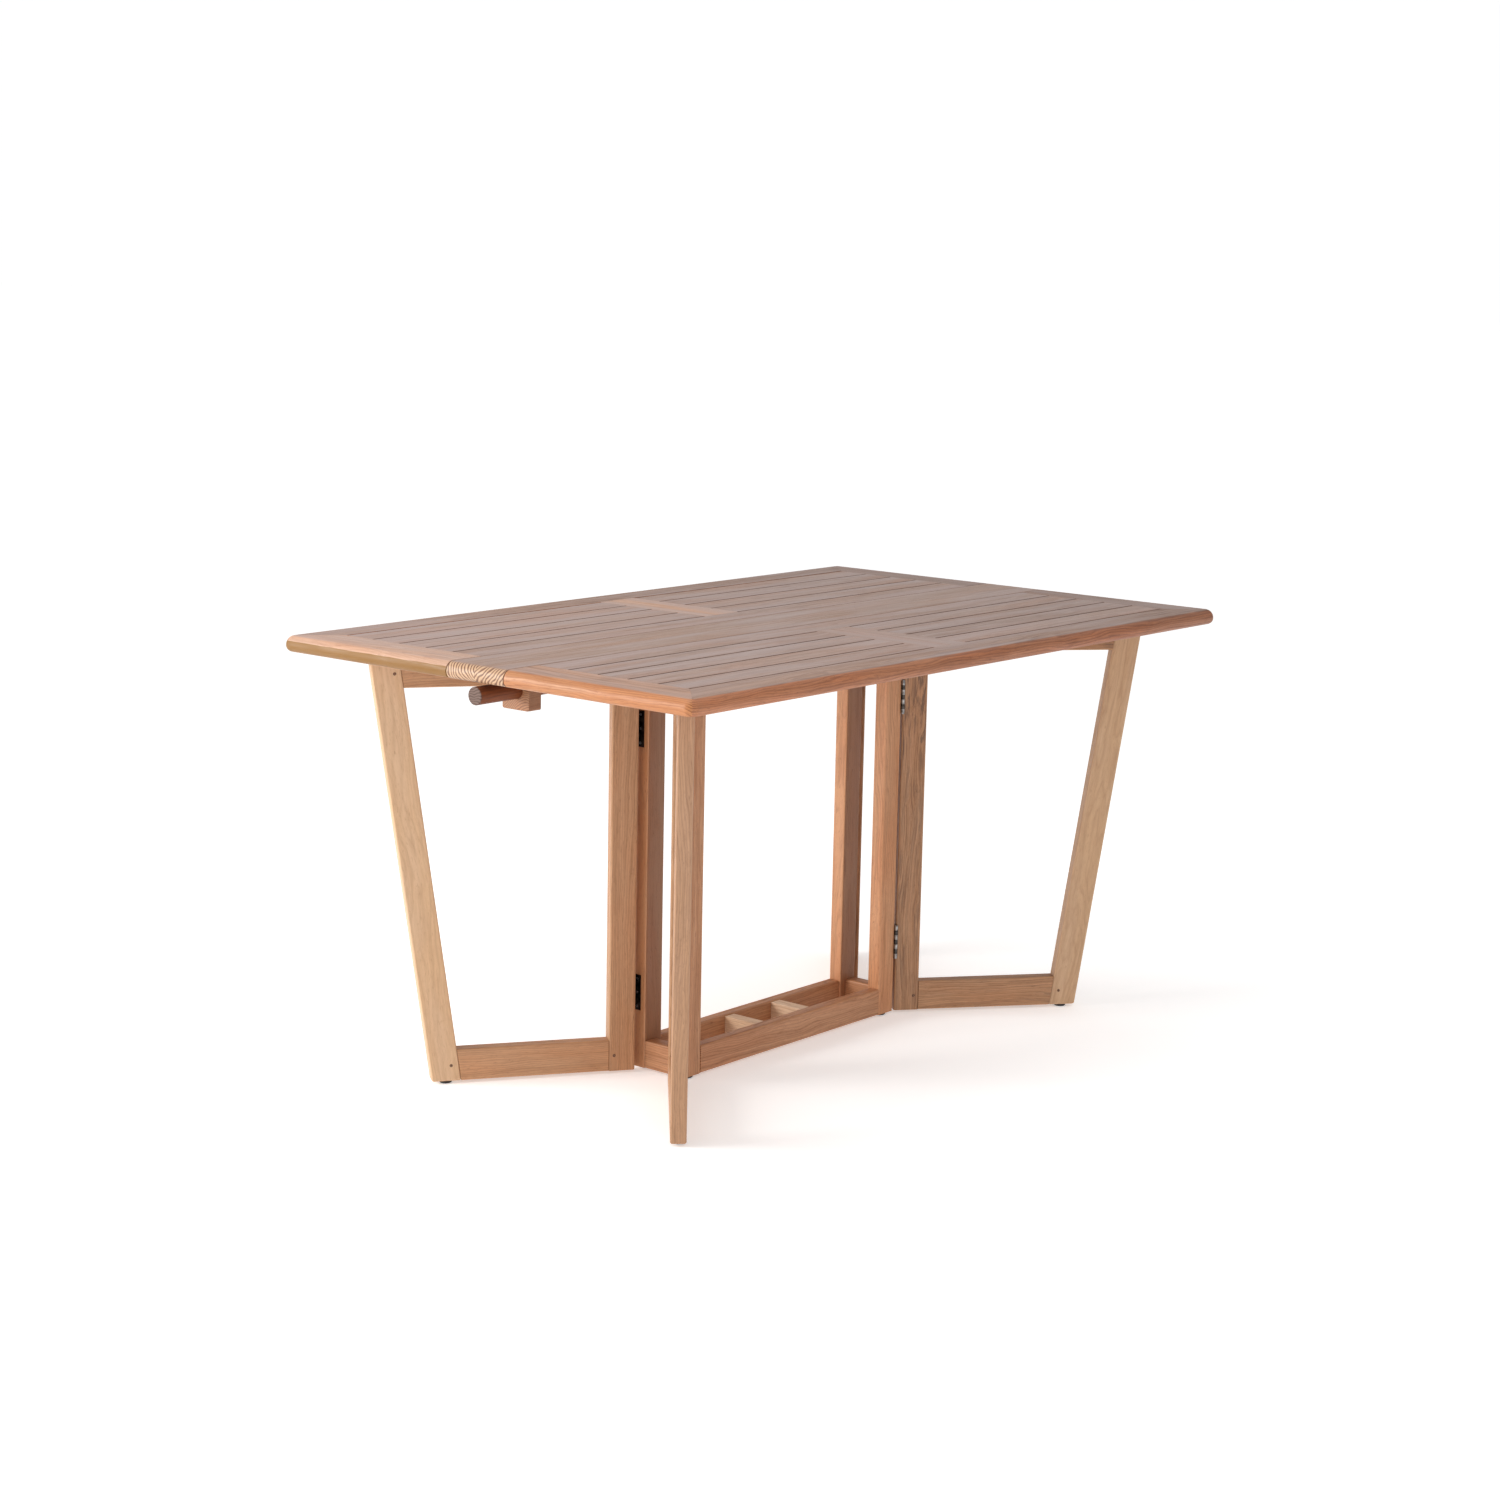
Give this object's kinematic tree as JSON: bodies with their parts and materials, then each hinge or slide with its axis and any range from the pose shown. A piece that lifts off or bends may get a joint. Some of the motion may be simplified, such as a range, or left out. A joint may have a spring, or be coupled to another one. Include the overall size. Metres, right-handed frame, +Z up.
{
  "type": "gateleg table",
  "caption": "Rectangular slatted hardwood table: narrow fixed centre section, hinged leaves and swinging gate legs on a slim boxed trestle.",
  "frame": {"origin": "on the floor under the middle of the table top", "axes": "+X along the table and its centre frame, +Y across it towards the back leaf, +Z up"},
  "size_m": [1.512, 0.916, 0.774],
  "materials": {
    "top_board_wood": "oiled hardwood, weathered a greyish mauve-brown",
    "leaf_rail_wood": "oiled hardwood, lighter and slightly pink",
    "frame_wood": "oiled hardwood, medium brown",
    "gate_wood": "oiled hardwood with dark grain streaks",
    "leg_wood": "oiled hardwood, light tan",
    "block_wood": "oiled hardwood, pale tan",
    "hinge_metal": "dull steel, darkened on the plates",
    "glide_plastic": "black moulded"
  },
  "bodies": {
    "frame": {"base_end_rail_far": "frame_wood", "base_end_rail_near": "frame_wood", "base_glides": "glide_plastic", "base_rail_back": "frame_wood", "base_rail_front": "frame_wood", "box_dividers": "block_wood", "carrying_rod": "frame_wood", "centre_board_back": "top_board_wood", "centre_board_front": "top_board_wood", "post_far_back": "frame_wood", "post_far_front": "frame_wood", "post_hinges": "hinge_metal", "post_near_back": "frame_wood", "post_near_front": "frame_wood", "rod_blocks": "block_wood", "top_end_rail_far": "frame_wood", "top_end_rail_near": "frame_wood", "top_hinges": "hinge_metal", "top_rail_back": "frame_wood", "top_rail_front": "frame_wood"},
    "gate_near_front": {"gate_bottom_rail_near_front": "gate_wood", "gate_glide_near_front": "glide_plastic", "gate_hinges_near_front": "hinge_metal", "gate_leg_near_front": "leg_wood", "gate_stile_near_front": "gate_wood", "gate_top_rail_near_front": "gate_wood"},
    "gate_far_front": {"gate_bottom_rail_far_front": "gate_wood", "gate_glide_far_front": "glide_plastic", "gate_hinges_far_front": "hinge_metal", "gate_leg_far_front": "leg_wood", "gate_stile_far_front": "gate_wood", "gate_top_rail_far_front": "gate_wood"},
    "gate_near_back": {"gate_bottom_rail_near_back": "gate_wood", "gate_glide_near_back": "glide_plastic", "gate_hinges_near_back": "hinge_metal", "gate_leg_near_back": "leg_wood", "gate_stile_near_back": "gate_wood", "gate_top_rail_near_back": "gate_wood"},
    "gate_far_back": {"gate_bottom_rail_far_back": "gate_wood", "gate_glide_far_back": "glide_plastic", "gate_hinges_far_back": "hinge_metal", "gate_leg_far_back": "leg_wood", "gate_stile_far_back": "gate_wood", "gate_top_rail_far_back": "gate_wood"},
    "leaf_front": {"leaf_end_rail_far_front": "leaf_rail_wood", "leaf_end_rail_near_front": "leaf_rail_wood", "leaf_hinges_front": "hinge_metal", "leaf_inner_stile_front": "top_board_wood", "leaf_mid_rail_front": "leaf_rail_wood", "leaf_outer_stile_front": "top_board_wood", "leaf_slats_front": "top_board_wood"},
    "leaf_back": {"leaf_end_rail_far_back": "leaf_rail_wood", "leaf_end_rail_near_back": "leaf_rail_wood", "leaf_hinges_back": "hinge_metal", "leaf_inner_stile_back": "top_board_wood", "leaf_mid_rail_back": "leaf_rail_wood", "leaf_outer_stile_back": "top_board_wood", "leaf_slats_back": "top_board_wood"}
  },
  "joints": [
    {"name": "gate_near_front_hinge", "type": "hinge", "parent": "frame", "child": "gate_near_front", "pos_m": [-0.302, -0.063, 0.375], "axis": [0, 0, 1], "range_deg": [-42, 48]},
    {"name": "gate_far_front_hinge", "type": "hinge", "parent": "frame", "child": "gate_far_front", "pos_m": [0.302, -0.063, 0.375], "axis": [0, 0, -1], "range_deg": [-39, 51]},
    {"name": "gate_near_back_hinge", "type": "hinge", "parent": "frame", "child": "gate_near_back", "pos_m": [-0.302, 0.063, 0.375], "axis": [0, 0, -1], "range_deg": [-34.5, 55.5]},
    {"name": "gate_far_back_hinge", "type": "hinge", "parent": "frame", "child": "gate_far_back", "pos_m": [0.302, 0.063, 0.375], "axis": [0, 0, 1], "range_deg": [-39, 51]},
    {"name": "leaf_front_hinge", "type": "hinge", "parent": "frame", "child": "leaf_front", "pos_m": [0, -0.064, 0.7425], "axis": [-1, 0, 0], "range_deg": [0, 3]},
    {"name": "leaf_back_hinge", "type": "hinge", "parent": "frame", "child": "leaf_back", "pos_m": [0, 0.064, 0.7425], "axis": [1, 0, 0], "range_deg": [0, 3]}
  ]
}
